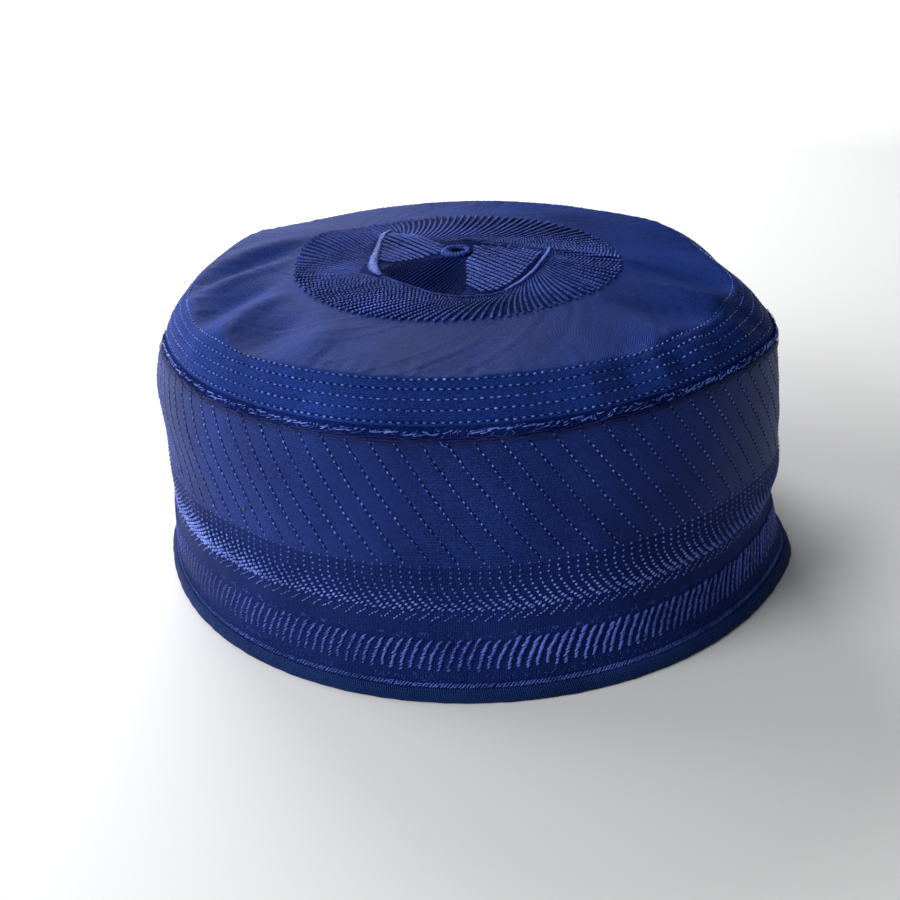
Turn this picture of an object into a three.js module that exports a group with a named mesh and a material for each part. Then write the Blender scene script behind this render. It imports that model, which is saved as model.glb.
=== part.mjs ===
import * as THREE from 'three';

// A quilted satin prayer cap, as it rests on a table. Millimetres, +Z up.
// +X is the cap's right as seen from the front, -Y is its front.
// The origin is on the table, under the middle of the cap's outline.

// Overall sizes
const brimRadius = 95.6; // mean outside radius over the brim binding
const wallLean = 8.6; // how much further in the seam edging is than the binding
const bevelReach = 9.8; // how much further in the shoulder is, where the crown turns over, than the edging
const seamRadius = brimRadius - wallLean;
const shoulderRadius = seamRadius - bevelReach;
const seamHeight = 67.2;
const shoulderHeight = 80.3;
const crownHeight = 87; // top of the cloth in the middle of the crown

// Cloth and gaps
const wallThickness = 2.4; // two layers of satin with wadding between
const crownThickness = 1.8;
const clothGap = 0.3; // between pieces that touch on the real cap

// Brim binding
const bindingHeight = 3.6; // how far the tape reaches up the wall, outside and inside
const bindingThickness = 1.3;

// Embroidery
const plainStripHeight = 4.2; // bare wall between the binding and the lower band
const lowerBandHeight = 8.6;
const smoothStripHeight = 4; // bare wall between the two bands
const upperBandHeight = 15;
const bandThickness = 0.8;
const medallionRadius = 47.7;
const medallionThickness = 0.8;
const eyeletRadius = 3.4;
const eyeletHoleRadius = 1.5;
const eyeletHeight = 1.1;

// Seam edging
const edgingHeight = 3.2;
const edgingThickness = 0.9;
const edgingOnWall = 0.62; // share of its height that lies on the wall, the rest on the crown

// Shape of the cloth
const domeFlatness = 1.7; // 1 is a cone, higher is flatter in the middle
const bevelBelly = 1.3; // how far the slope from shoulder to seam bulges
const wallBelly = 2; // how far the wall leaves a straight line where the table of rows says 1
const creaseReachAngle = THREE.MathUtils.degToRad(16); // how fast a side crease dies away round the cap
const creaseMean = 0.1; // mean of a crease over the whole turn
const ridgeHeight = 1.2; // the fold line across the crown, from left to right
const ridgeReach = 9; // how fast it dies away to front and back
const ridgeEndShare = 1.2; // where it dies at the sides, 1 being the shoulder
const ridgeTurnAngle = THREE.MathUtils.degToRad(-30); // the fold line's turn from the left-right axis
const foldHeight = 1.1; // the deepest of the soft folds on the crown

const stationCount = 72;
const fullTurn = Math.PI * 2;

const satinCloth = new THREE.MeshStandardMaterial({ color: 0x1b2550, roughness: 0.55, metalness: 0 });
const crownCloth = new THREE.MeshStandardMaterial({ color: 0x1d2752, roughness: 0.55, metalness: 0 });
const bandThread = new THREE.MeshStandardMaterial({ color: 0x1f2f78, roughness: 0.38, metalness: 0 });
const medallionThread = new THREE.MeshStandardMaterial({ color: 0x1d2d70, roughness: 0.38, metalness: 0 });
const seamThread = new THREE.MeshStandardMaterial({ color: 0x222c66, roughness: 0.45, metalness: 0 });
const bindingTape = new THREE.MeshStandardMaterial({ color: 0x16204c, roughness: 0.6, metalness: 0 });

// The rings that the cloth passes through, from the table up.
// right, back: how far the ring's middle has slipped, as shares of the ring's radius.
// oval: how much shorter it is from left to right than its mean, as a share of its radius.
// tiltRight, tiltBack: rise per length. saddle: rise of left and right against front and back, as a share.
// creases: how far the corners of the stored cap's fold stand out, or the cloth beside one falls in,
// and how far the ring rises there, as shares of the radius, at angles in degrees.
const brimRing = {
  radius: brimRadius - clothGap - bindingThickness,
  height: 0,
  right: 0,
  back: 0,
  oval: 0.022,
  tiltRight: 0,
  tiltBack: 0,
  saddle: 0,
  creases: [
    { at: -18, out: 0.038, up: 0 },
    { at: 4, out: -0.044, up: 0 },
    { at: 180, out: 0.026, up: 0 },
  ],
};
const seamRing = {
  radius: seamRadius - clothGap - edgingThickness,
  height: seamHeight,
  right: 0.008,
  back: 0.018,
  oval: 0.004,
  tiltRight: 0.026,
  tiltBack: -0.021,
  saddle: 0.01,
  creases: [
    { at: -20, out: 0.036, up: -0.025 },
    { at: 7, out: -0.08, up: -0.035 },
    { at: 183, out: 0.06, up: 0 },
  ],
};
const shoulderRing = {
  radius: shoulderRadius,
  height: shoulderHeight,
  right: -0.045,
  back: -0.018,
  oval: 0.012,
  tiltRight: -0.006,
  tiltBack: 0.015,
  saddle: -0.008,
  creases: [
    { at: -9, out: 0.022, up: 0 },
    { at: 12, out: -0.03, up: 0 },
    { at: 176, out: 0.014, up: 0 },
  ],
};

// How far the wall bulges, left, right and at front and back, as shares of wallBelly.
const wallRows = [
  { height: 0, left: 0, right: 0, frontBack: 0 },
  { height: 0.2, left: 0.1, right: -2.4, frontBack: 0.1 },
  { height: 0.5, left: 0.3, right: -0.3, frontBack: 0.4 },
  { height: 0.7, left: 1.3, right: 0.1, frontBack: 0.5 },
  { height: 0.86, left: 2.1, right: 0.3, frontBack: 0.4 },
  { height: 1, left: 0, right: 0, frontBack: 0 },
];

// Soft folds of the crown's cloth: where each meets the shoulder, in degrees, how far it turns on its way in,
// how wide it is, how deep as a share of foldHeight, and where it dies, as shares of the way from the middle.
const crownFolds = [
  { at: 33, turn: 0, width: 13, depth: 1.4, inner: 0.75, outer: 1.9 },
  { at: 150, turn: 0, width: 15, depth: 1.4, inner: 0.45, outer: 1.3 },
  { at: 170, turn: -50, width: 5, depth: 0.5, inner: 0.64, outer: 1.05 },
  { at: 182, turn: -60, width: 5, depth: -0.6, inner: 0.64, outer: 1.15 },
  { at: 193, turn: -60, width: 5, depth: 0.8, inner: 0.63, outer: 1.1 },
  { at: 205, turn: -48, width: 4.5, depth: -0.8, inner: 0.63, outer: 1.1 },
  { at: 216, turn: -36, width: 4.5, depth: 0.9, inner: 0.63, outer: 1.1 },
  { at: 227, turn: -20, width: 5, depth: -0.6, inner: 0.65, outer: 1.05 },
  { at: 238, turn: -6, width: 5, depth: 0.5, inner: 0.68, outer: 1 },
  { at: -34, turn: -20, width: 4.5, depth: -0.5, inner: 0.65, outer: 1.1 },
  { at: -24, turn: 0, width: 4, depth: 0.8, inner: 0.64, outer: 1.3 },
  { at: -13, turn: 20, width: 5, depth: -0.7, inner: 0.65, outer: 1.1 },
  { at: -46, turn: 0, width: 4.5, depth: 0.7, inner: 0.8, outer: 1.7 },
  { at: -55, turn: 0, width: 4, depth: -0.6, inner: 0.8, outer: 1.7 },
];

function angleBetween(angle, degrees) {
  const away = angle - THREE.MathUtils.degToRad(degrees);
  return Math.atan2(Math.sin(away), Math.cos(away));
}

function crease(angle, degrees) {
  return Math.exp(-Math.abs(angleBetween(angle, degrees)) / creaseReachAngle) - creaseMean;
}

// creaseShare says how much of its creases the ring keeps.
function ringPoint(ring, angle, creaseShare = 1) {
  const corners = ring.creases.reduce((sum, one) => sum + one.out * crease(angle, one.at), 0);
  const lift = ring.creases.reduce((sum, one) => sum + one.up * crease(angle, one.at), 0);
  const radius = ring.radius * (1 - ring.oval * Math.cos(2 * angle) + corners * creaseShare);
  const x = radius * Math.cos(angle);
  const y = radius * Math.sin(angle);
  const saddle = ring.saddle * Math.cos(2 * angle) + lift * creaseShare;
  const rise = ring.tiltRight * x + ring.tiltBack * y + ring.radius * saddle;
  return new THREE.Vector3(ring.right * ring.radius + x, ring.back * ring.radius + y, ring.height + rise);
}

// The middle of the crown has slipped too, by shares of the shoulder's radius.
const crownMiddle = new THREE.Vector3(-0.04 * shoulderRadius, -0.005 * shoulderRadius, crownHeight);
const ridgeBehindMiddle = 0.1 * shoulderRadius;

function outward(angle) {
  return new THREE.Vector3(Math.cos(angle), Math.sin(angle), 0);
}

function bulgeAt(share, angle) {
  const above = Math.max(1, wallRows.findIndex((row) => row.height >= share));
  const low = wallRows[above - 1];
  const high = wallRows[above];
  const part = (share - low.height) / (high.height - low.height);
  const row = (key) => THREE.MathUtils.lerp(low[key], high[key], part);
  const across = Math.cos(angle);
  const side = across > 0 ? row('right') : row('left');
  return wallBelly * (side * across * across + row('frontBack') * (1 - across * across));
}

// A point of the wall's outer face, at a share of its height, moved outward.
function wallPoint(share, angle, out = 0) {
  const point = ringPoint(brimRing, angle).lerp(ringPoint(seamRing, angle), share);
  return point.addScaledVector(outward(angle), bulgeAt(share, angle) + out);
}

function foldRelief(along, angle) {
  let relief = 0;
  for (const fold of crownFolds) {
    const middle = fold.at + fold.turn * (1 - along);
    const off = THREE.MathUtils.radToDeg(angleBetween(angle, middle)) / fold.width;
    const way = (along - fold.inner) / (fold.outer - fold.inner);
    if (way > 0 && way < 1) {
      relief += fold.depth * foldHeight * Math.exp(-off * off) * Math.sin(Math.PI * way);
    }
  }
  return relief;
}

// The crown's outer face: along is 0 in the middle, 1 at the shoulder and 2 at the seam.
function crownSurface(along, angle) {
  const shoulder = ringPoint(shoulderRing, angle, Math.min(along, 1) ** 3);
  const point = new THREE.Vector3();
  if (along <= 1) {
    point.lerpVectors(crownMiddle, shoulder, along);
    point.z = shoulder.z + (crownMiddle.z - ridgeHeight - shoulder.z) * (1 - along ** domeFlatness);
  } else {
    const seam = ringPoint(seamRing, angle);
    const way = along - 1;
    point.lerpVectors(shoulder, seam, way);
    const belly = bevelBelly * Math.sin(Math.PI * way);
    point.addScaledVector(outward(angle), belly * Math.SQRT1_2);
    point.z += belly * Math.SQRT1_2;
  }
  const fromRidge = (point.y - ridgeBehindMiddle) * Math.cos(ridgeTurnAngle) - point.x * Math.sin(ridgeTurnAngle);
  const ridge = ridgeHeight * Math.exp(-Math.abs(fromRidge) / ridgeReach) * Math.max(0, 1 - along / ridgeEndShare);
  point.z += ridge + foldRelief(along, angle);
  return point;
}

function crownSlope(along, angle) {
  const step = 0.02;
  const inner = crownSurface(Math.max(along - step, 0.001), angle);
  const outer = crownSurface(Math.min(along + step, 2), angle);
  return outer.sub(inner).normalize();
}

// The direction straight out of the crown's cloth, in the upright plane through the axis.
function crownNormal(along, angle) {
  const slope = crownSlope(along, angle);
  const sideways = new THREE.Vector3(-Math.sin(angle), Math.cos(angle), 0);
  return sideways.cross(slope).negate().normalize();
}

function crownPoint(along, angle, out = 0) {
  return crownSurface(along, angle).addScaledVector(crownNormal(along, angle), out);
}

// A closed solid that runs once round the cap. sectionAt gives the corners of its section,
// up the outer side and down the inner side.
function sweptRing(name, material, sectionAt, stations = stationCount) {
  const positions = [];
  const faces = [];
  const corners = sectionAt(0).length;
  for (let station = 0; station < stations; station += 1) {
    const angle = (station / stations) * fullTurn;
    for (const corner of sectionAt(angle)) {
      positions.push(corner.x, corner.y, corner.z);
    }
  }
  for (let station = 0; station < stations; station += 1) {
    const next = (station + 1) % stations;
    for (let corner = 0; corner < corners; corner += 1) {
      const following = (corner + 1) % corners;
      const here = station * corners;
      const there = next * corners;
      faces.push(here + corner, there + corner, there + following);
      faces.push(here + corner, there + following, here + following);
    }
  }
  const geometry = new THREE.BufferGeometry();
  geometry.setAttribute('position', new THREE.Float32BufferAttribute(positions, 3));
  geometry.setIndex(faces);
  geometry.computeVertexNormals();
  const mesh = new THREE.Mesh(geometry, material);
  mesh.name = name;
  return mesh;
}

// Heights of the wall's parts, as shares of its height
const share = (height) => height / seamHeight;
const wallFoot = share(bindingThickness + clothGap);
const bindingTop = share(bindingHeight);
const lowerBandFrom = share(bindingHeight + plainStripHeight);
const lowerBandTo = lowerBandFrom + share(lowerBandHeight);
const upperBandFrom = lowerBandTo + share(smoothStripHeight);
const upperBandTo = upperBandFrom + share(upperBandHeight);

// Rows of the crown, from the middle out
const crownHole = (eyeletHoleRadius + clothGap) / shoulderRadius;
const medallionFrom = (eyeletRadius + clothGap) / shoulderRadius;
const medallionTo = medallionRadius / shoulderRadius;
const medallionRows = [0, 0.3, 0.65, 1].map((way) => THREE.MathUtils.lerp(medallionFrom, medallionTo, way));
const plainRows = [0.4, 0.72, 1].map((way) => THREE.MathUtils.lerp(medallionTo, 1, way));
const bevelRows = [1.35, 1.7, 2];
const crownRows = [crownHole, ...medallionRows, ...plainRows, ...bevelRows];

function sideWall() {
  const clearOfBands = THREE.MathUtils.lerp(upperBandTo, 1, 0.45);
  const belowSeam = THREE.MathUtils.lerp(upperBandTo, 1, 0.8);
  const outerRows = [wallFoot, lowerBandFrom, lowerBandTo, upperBandFrom, upperBandTo, clearOfBands, belowSeam];
  const innerRows = [belowSeam, clearOfBands, upperBandFrom, wallFoot];
  return sweptRing('side_wall', satinCloth, (angle) => {
    const section = outerRows.map((row) => wallPoint(row, angle));
    // The top edge lies along the crown's cut edge, a gap below it
    const normal = crownNormal(2, angle);
    const top = crownSurface(2, angle).addScaledVector(crownSlope(2, angle), clothGap);
    const depth = wallThickness / normal.dot(outward(angle));
    section.push(top.clone());
    section.push(top.addScaledVector(normal, -depth));
    for (const row of innerRows) {
      section.push(wallPoint(row, angle, -wallThickness));
    }
    return section;
  });
}

function crownPanel() {
  return sweptRing('crown_panel', crownCloth, (angle) => {
    const under = crownRows.map((row) => crownPoint(row, angle, -crownThickness));
    const over = crownRows.map((row) => crownPoint(row, angle)).reverse();
    return [...under, ...over];
  });
}

function seamEdging() {
  const below = share(edgingHeight * edgingOnWall);
  const above = edgingHeight * (1 - edgingOnWall);
  return sweptRing('crown_seam_edging', seamThread, (angle) => {
    const seam = crownSurface(2, angle);
    const normal = crownNormal(2, angle);
    const upSlope = crownSlope(2, angle).negate();
    const corner = normal.clone().add(outward(angle));
    corner.divideScalar(1 + normal.dot(outward(angle)));
    const onCrown = (rise, out) => seam.clone().addScaledVector(upSlope, rise).addScaledVector(normal, out);
    return [
      wallPoint(1 - below, angle, clothGap),
      wallPoint(1 - below * 0.85, angle, clothGap + edgingThickness * 0.75),
      wallPoint(1 - below * 0.4, angle, clothGap + edgingThickness),
      onCrown(above * 0.45, clothGap + edgingThickness * 0.95),
      onCrown(above, clothGap + edgingThickness * 0.5),
      onCrown(above, clothGap),
      seam.clone().addScaledVector(corner, clothGap),
    ];
  });
}

function medallion() {
  const edge = medallionThickness / medallionRadius;
  return sweptRing('crown_medallion', medallionThread, (angle) => {
    const under = medallionRows.map((row) => crownPoint(row, angle, clothGap));
    const over = medallionRows.map((row, index) => {
      const last = index === medallionRows.length - 1;
      return crownPoint(last ? row - edge : row, angle, clothGap + medallionThickness);
    });
    return [...under, ...over.reverse()];
  });
}

function eyelet() {
  const round = (eyeletRadius - eyeletHoleRadius) / 2;
  const sides = 8;
  const along = (radius) => radius / shoulderRadius;
  return sweptRing('crown_eyelet', medallionThread, (angle) => {
    const section = [];
    for (let side = 0; side < sides; side += 1) {
      const turn = ((side + 0.5) / sides) * fullTurn;
      const radius = eyeletHoleRadius + round * (1 + Math.cos(turn));
      const rise = clothGap + (eyeletHeight / 2) * (1 + Math.sin(turn));
      section.push(crownPoint(along(radius), angle, rise));
    }
    return section;
  }, stationCount / 2);
}

function embroideredBand(name, from, to) {
  const edge = share(bandThickness);
  return sweptRing(name, bandThread, (angle) => [
    wallPoint(from, angle, clothGap),
    wallPoint(from + edge, angle, clothGap + bandThickness),
    wallPoint((from + to) / 2, angle, clothGap + bandThickness),
    wallPoint(to - edge, angle, clothGap + bandThickness),
    wallPoint(to, angle, clothGap),
  ]);
}

function brimBinding() {
  const outer = clothGap + bindingThickness;
  const inner = -wallThickness - clothGap;
  const foot = share(bindingThickness);
  return sweptRing('brim_binding', bindingTape, (angle) => [
    wallPoint(0, angle, clothGap + bindingThickness * 0.5),
    wallPoint(foot * 0.6, angle, outer),
    wallPoint(bindingTop * 0.75, angle, outer),
    wallPoint(bindingTop, angle, clothGap + bindingThickness * 0.55),
    wallPoint(bindingTop, angle, clothGap),
    wallPoint(foot, angle, clothGap),
    wallPoint(foot, angle, inner),
    wallPoint(bindingTop, angle, inner),
    wallPoint(bindingTop, angle, inner - bindingThickness * 0.55),
    wallPoint(bindingTop * 0.75, angle, inner - bindingThickness),
    wallPoint(foot * 0.6, angle, inner - bindingThickness),
    wallPoint(0, angle, inner - bindingThickness * 0.5),
  ]);
}

const cap = new THREE.Group();
cap.add(sideWall());
cap.add(crownPanel());
cap.add(seamEdging());
cap.add(medallion());
cap.add(eyelet());
cap.add(embroideredBand('upper_embroidered_band', upperBandFrom, upperBandTo));
cap.add(embroideredBand('lower_embroidered_band', lowerBandFrom, lowerBandTo));
cap.add(brimBinding());

// The origin is under the middle of the whole outline.
const outline = new THREE.Box3().setFromObject(cap);
cap.position.set(-(outline.min.x + outline.max.x) / 2, -(outline.min.y + outline.max.y) / 2, 0);

export default cap;
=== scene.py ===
import math

import bpy
import numpy as np
from mathutils import Matrix, Vector


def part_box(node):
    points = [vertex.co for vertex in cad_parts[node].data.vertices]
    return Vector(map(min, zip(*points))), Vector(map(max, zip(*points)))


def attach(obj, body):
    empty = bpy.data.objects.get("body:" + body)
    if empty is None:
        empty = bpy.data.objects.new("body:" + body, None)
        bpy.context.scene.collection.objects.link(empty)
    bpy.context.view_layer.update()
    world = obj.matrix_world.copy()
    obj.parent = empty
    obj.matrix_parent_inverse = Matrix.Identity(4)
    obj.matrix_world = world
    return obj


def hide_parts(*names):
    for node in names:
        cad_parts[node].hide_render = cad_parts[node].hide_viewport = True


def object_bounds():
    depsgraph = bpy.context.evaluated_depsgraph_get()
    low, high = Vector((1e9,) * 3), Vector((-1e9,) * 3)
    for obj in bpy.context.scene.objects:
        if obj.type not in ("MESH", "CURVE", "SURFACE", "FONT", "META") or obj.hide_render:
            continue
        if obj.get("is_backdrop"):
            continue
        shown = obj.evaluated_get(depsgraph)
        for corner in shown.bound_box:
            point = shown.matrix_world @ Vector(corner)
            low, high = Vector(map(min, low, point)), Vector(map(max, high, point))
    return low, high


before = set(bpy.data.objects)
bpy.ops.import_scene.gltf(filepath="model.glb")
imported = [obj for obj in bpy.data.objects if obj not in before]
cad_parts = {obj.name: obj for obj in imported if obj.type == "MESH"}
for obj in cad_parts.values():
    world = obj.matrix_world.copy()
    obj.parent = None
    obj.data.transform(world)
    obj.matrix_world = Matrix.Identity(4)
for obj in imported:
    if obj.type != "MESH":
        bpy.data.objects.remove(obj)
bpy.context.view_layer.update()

# A quilted satin prayer cap. The shape is worked out in millimetres and turned into metres at the end.
# Angles run anticlockwise seen from above, 0 at the cap's right and -90 degrees at its front.
METRE = 0.001
turn = 2 * math.pi
chance = np.random.default_rng(7)
scene = bpy.context.scene

# Overall sizes, as in the frame
brim_radius = 95.6
seam_radius = 87.0
shoulder_radius = 77.2
seam_height = 67.2
shoulder_height = 80.3
crown_height = 87.0
side_radius = 90.0
upper_side_radius = 88.0
lower_side_radius = 92.0
wall_thickness = 2.4
crown_thickness = 1.8
cloth_gap = 0.3
binding_height = 3.6
binding_thickness = 1.3
plain_strip_height = 4.2
lower_band_height = 8.6
smooth_strip_height = 4.0
band_ground_from = 3.9
upper_band_height = 15.0
eyelet_radius = 3.4
eyelet_height = 1.1
thread_ring_radius = 3.7
thread_hole_radius = 2.6
edging_height = 3.2
edging_thickness = 0.9
edging_on_wall = 0.62
dome_flatness = 1.7
bevel_belly = 1.3
wall_belly = 2.0
crease_reach = math.radians(16)
crease_softness = math.radians(2.5)
crease_mean = 0.1
ridge_height = 1.2
ridge_reach = 9.0
ridge_end = 1.2
ridge_turn = math.radians(-30)
ridge_softness = 1.2
fold_height = 1.1

# Sewing
quilt_lines = 86
quilt_slope = math.tan(math.radians(37)) / side_radius  # turn of a quilting line for each mm it goes down
quilt_stitches = 22  # down each line
stations_per_line = 10
stations = quilt_lines * stations_per_line
rim_stitches = 252
stitch_rings = (0.02, 0.23, 0.44, 0.65, 0.86)  # shares of the way from shoulder to seam
knot_columns = 239
lower_ridges = 244
whip_stitches = 560
edge_stitches = 660

# Rings that the cap is built on. Shifts, lifts and the oval are shares of the radius.
# A crease is its place in degrees, how far it goes out and how far it goes up.
brim_ring = dict(
    radius=brim_radius - cloth_gap - binding_thickness, height=0.0, right=0.0, back=0.0,
    oval=0.022, tilt_right=0.0, tilt_back=0.0, saddle=0.0,
    creases=[(-18, 0.038, 0), (4, -0.044, 0), (180, 0.026, 0)],
)
seam_ring = dict(
    radius=seam_radius - cloth_gap - edging_thickness, height=seam_height, right=0.008,
    back=0.018, oval=0.004, tilt_right=0.026, tilt_back=-0.021, saddle=0.01,
    creases=[(-20, 0.036, -0.025), (7, -0.08, -0.035), (183, 0.06, 0)],
)
shoulder_ring = dict(
    radius=shoulder_radius, height=shoulder_height, right=-0.045, back=-0.018, oval=0.012,
    tilt_right=-0.006, tilt_back=0.015, saddle=-0.008,
    creases=[(-9, 0.022, 0), (12, -0.03, 0), (176, 0.014, 0)],
)
# How the wall bellies out: height, then at the left, at the right, and at the front and back
wall_rows = [
    (0, 0, 0, 0), (0.2, 0.1, -2.4, 0.1), (0.5, 0.3, -0.3, 0.4), (0.7, 1.3, 0.1, 0.5), (0.86, 2.1, 0.3, 0.4),
    (1, 0, 0, 0),
]
# Folds of the crown: place and turn in degrees, width in degrees, depth in mm, and where they start and end
crown_folds = [
    (33, 0, 13, 1.4, 0.75, 1.9), (150, 0, 15, 1.4, 0.45, 1.3), (170, -50, 5, 0.5, 0.64, 1.05),
    (182, -60, 5, -0.6, 0.64, 1.15), (193, -60, 5, 0.8, 0.63, 1.1), (205, -48, 4.5, -0.8, 0.63, 1.1),
    (216, -36, 4.5, 0.9, 0.63, 1.1), (227, -20, 5, -0.6, 0.65, 1.05), (238, -6, 5, 0.5, 0.68, 1),
    (-34, -20, 4.5, -0.5, 0.65, 1.1), (-24, 0, 4, 0.8, 0.64, 1.3), (-13, 20, 5, -0.7, 0.65, 1.1),
    (-46, 0, 4.5, 0.7, 0.8, 1.7), (-55, 0, 4, -0.6, 0.8, 1.7),
]


def spread(*parts):
    return np.stack(np.broadcast_arrays(*parts), -1).astype(float)


def unit(vectors):
    return vectors / np.maximum(np.linalg.norm(vectors, axis=-1, keepdims=True), 1e-9)


def angle_between(angle, degrees):
    away = angle - np.radians(degrees)
    return np.arctan2(np.sin(away), np.cos(away))


def crease(angle, degrees):
    off = np.sqrt(angle_between(angle, degrees) ** 2 + crease_softness**2) - crease_softness
    return np.exp(-off / crease_reach) - crease_mean


def ring_point(ring, angle, crease_share=1.0):
    corners = sum(out * crease(angle, at) for at, out, up in ring["creases"])
    lift = sum(up * crease(angle, at) for at, out, up in ring["creases"])
    radius = ring["radius"] * (1 - ring["oval"] * np.cos(2 * angle) + corners * crease_share)
    x = radius * np.cos(angle)
    y = radius * np.sin(angle)
    saddle = ring["saddle"] * np.cos(2 * angle) + lift * crease_share
    rise = ring["tilt_right"] * x + ring["tilt_back"] * y + ring["radius"] * saddle
    x = ring["right"] * ring["radius"] + x
    y = ring["back"] * ring["radius"] + y
    return spread(x, y, ring["height"] + rise)


crown_middle = np.array([-0.04 * shoulder_radius, -0.005 * shoulder_radius, crown_height])
ridge_behind_middle = 0.1 * shoulder_radius


def outward(angle):
    return spread(np.cos(angle), np.sin(angle), 0.0)


def bulge_at(share, angle):
    heights, *bellies = zip(*wall_rows)
    blend = np.minimum(0.05, np.minimum(share, 1 - share) / 2)
    places = [share + step * blend for step in (-2, -1, 0, 1, 2)]
    left, right, front_back = (
        sum(np.interp(place, heights, belly) for place in places) / len(places) for belly in bellies)
    across = np.cos(angle)
    side = np.where(across > 0, right, left)
    return wall_belly * (side * across**2 + front_back * (1 - across**2))


def wall_point(share, angle, out=0.0):
    share, angle, out = np.broadcast_arrays(share, angle, out)
    way = share[..., None]
    point = ring_point(brim_ring, angle) * (1 - way) + ring_point(seam_ring, angle) * way
    return point + outward(angle) * (bulge_at(share, angle) + out)[..., None]


def fold_relief(along, angle):
    relief = np.zeros(np.broadcast(along, angle).shape)
    for at, swing, width, depth, inner, outer in crown_folds:
        off = np.degrees(angle_between(angle, at + swing * (1 - along))) / width
        way = np.clip((along - inner) / (outer - inner), 0, 1)
        relief += depth * fold_height * np.exp(-off * off) * np.sin(np.pi * way)
    return relief


# The sharp crease that runs from the eyelet to the crown's right edge
def pressed_crease(x, y):
    slope = math.radians(-15.5)
    crease_height, width_behind, width_in_front = 1.15, 6.0, 1.8
    right_of_start = x - crown_middle[0]
    behind_start = y - ridge_behind_middle
    away = behind_start * math.cos(slope) - right_of_start * math.sin(slope)
    reach = right_of_start * math.cos(slope) + behind_start * math.sin(slope)
    fade = np.clip((reach + 6) / 10, 0, 1) * np.clip((85 - reach) / 40, 0, 1)
    width = np.where(away > 0, width_behind, width_in_front)
    return crease_height * fade * np.exp(-np.sqrt(away**2 + 0.2) / width)


# along is 0 in the middle, 1 at the shoulder and 2 at the seam
def crown_surface(along, angle):
    along, angle = np.broadcast_arrays(np.asarray(along, float), np.asarray(angle, float))
    inside = np.minimum(along, 1)
    way = np.clip(along - 1, 0, 1)
    shoulder = ring_point(shoulder_ring, angle, inside**3)
    dome = crown_middle * (1 - inside)[..., None] + shoulder * inside[..., None]
    top = crown_middle[2] - ridge_height
    dome[..., 2] = shoulder[..., 2] + (top - shoulder[..., 2]) * (1 - inside**dome_flatness)
    belly = bevel_belly * np.sin(np.pi * way) * math.sqrt(0.5)
    slope = shoulder * (1 - way)[..., None] + ring_point(seam_ring, angle) * way[..., None]
    slope = slope + (outward(angle) + np.array([0, 0, 1.0])) * belly[..., None]
    point = np.where((along <= 1)[..., None], dome, slope)
    behind_ridge = point[..., 1] - ridge_behind_middle
    from_ridge = behind_ridge * math.cos(ridge_turn) - point[..., 0] * math.sin(ridge_turn)
    from_ridge = np.sqrt(from_ridge**2 + ridge_softness**2) - ridge_softness
    ridge = ridge_height * np.exp(-from_ridge / ridge_reach) * np.maximum(0, 1 - along / ridge_end)
    point[..., 2] += ridge + fold_relief(along, angle) + pressed_crease(point[..., 0], point[..., 1])
    return point


def crown_slope(along, angle):
    step = 0.02
    inner = crown_surface(np.maximum(along - step, 0.001), angle)
    outer = crown_surface(np.minimum(along + step, 2), angle)
    return unit(outer - inner)


def crown_normal(along, angle):
    along, angle = np.broadcast_arrays(np.asarray(along, float), np.asarray(angle, float))
    sideways = spread(-np.sin(angle), np.cos(angle), 0.0)
    return unit(-np.cross(sideways, crown_slope(along, angle)))


def crown_point(along, angle, out=0.0):
    return crown_surface(along, angle) + crown_normal(along, angle) * np.asarray(out)[..., None]


def share(height):
    return height / seam_height


# Turn that a length along the cap's side makes, in radians
def turn_of(length, radius=side_radius):
    return length / radius


wall_foot = share(binding_thickness + cloth_gap)
binding_top = share(binding_height)
lower_band_from = share(binding_height + plain_strip_height)
lower_band_to = lower_band_from + share(lower_band_height)
upper_band_from = lower_band_to + share(smooth_strip_height)
upper_band_to = upper_band_from + share(upper_band_height)


def even_angles(count):
    return np.arange(count) / count * turn


# The frame's origin is under the middle of the outline, so everything moves by what its binding shows.
tape_low, tape_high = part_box("brim_binding")
tape = wall_point(binding_top * 0.4, even_angles(72), cloth_gap + binding_thickness)
middle_shift = np.zeros(3)
for axis in (0, 1):
    middle = (tape_low[axis] + tape_high[axis]) / 2 / METRE
    middle_shift[axis] = middle - (tape[:, axis].min() + tape[:, axis].max()) / 2


# Gentle unevenness that closes on itself round the cap
def wander(angle, waves, seed):
    own = np.random.default_rng(seed)
    total = np.zeros(np.shape(angle))
    for wave in waves:
        total += np.sin(wave * angle + own.uniform(0, turn)) / len(waves) ** 0.5
    return total


def add_object(name, data):
    thing = bpy.data.objects.new(name, data)
    scene.collection.objects.link(thing)
    return thing


def make_piece(name, points, quads, material, slot, *nodes):
    mesh = bpy.data.meshes.new(name)
    vertices = (points.reshape(-1, 3) + middle_shift) * METRE
    quads = np.ascontiguousarray(quads, dtype=np.int32).reshape(-1, 4)
    mesh.vertices.add(len(vertices))
    mesh.vertices.foreach_set("co", vertices.astype(np.float32).ravel())
    mesh.loops.add(quads.size)
    mesh.loops.foreach_set("vertex_index", quads.ravel())
    mesh.polygons.add(len(quads))
    mesh.polygons.foreach_set("loop_start", np.arange(0, quads.size, 4, dtype=np.int32))
    mesh.polygons.foreach_set("use_smooth", np.ones(len(quads), dtype=bool))
    mesh.update(calc_edges=True)
    mesh.materials.append(material)
    piece = add_object(name, mesh)
    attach(piece, "root")
    if nodes:
        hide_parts(*nodes)


# Quads of a grid of rows by columns, closed round the columns and, if asked, over the rows too
def grid_quads(rows, columns, closed_rows=False):
    low = np.arange(rows if closed_rows else rows - 1)[:, None]
    left = np.arange(columns)[None]
    high, right = (low + 1) % rows, (left + 1) % columns
    low, high = low * columns, high * columns
    return np.stack([low + left, low + right, high + right, high + left], -1)


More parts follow.
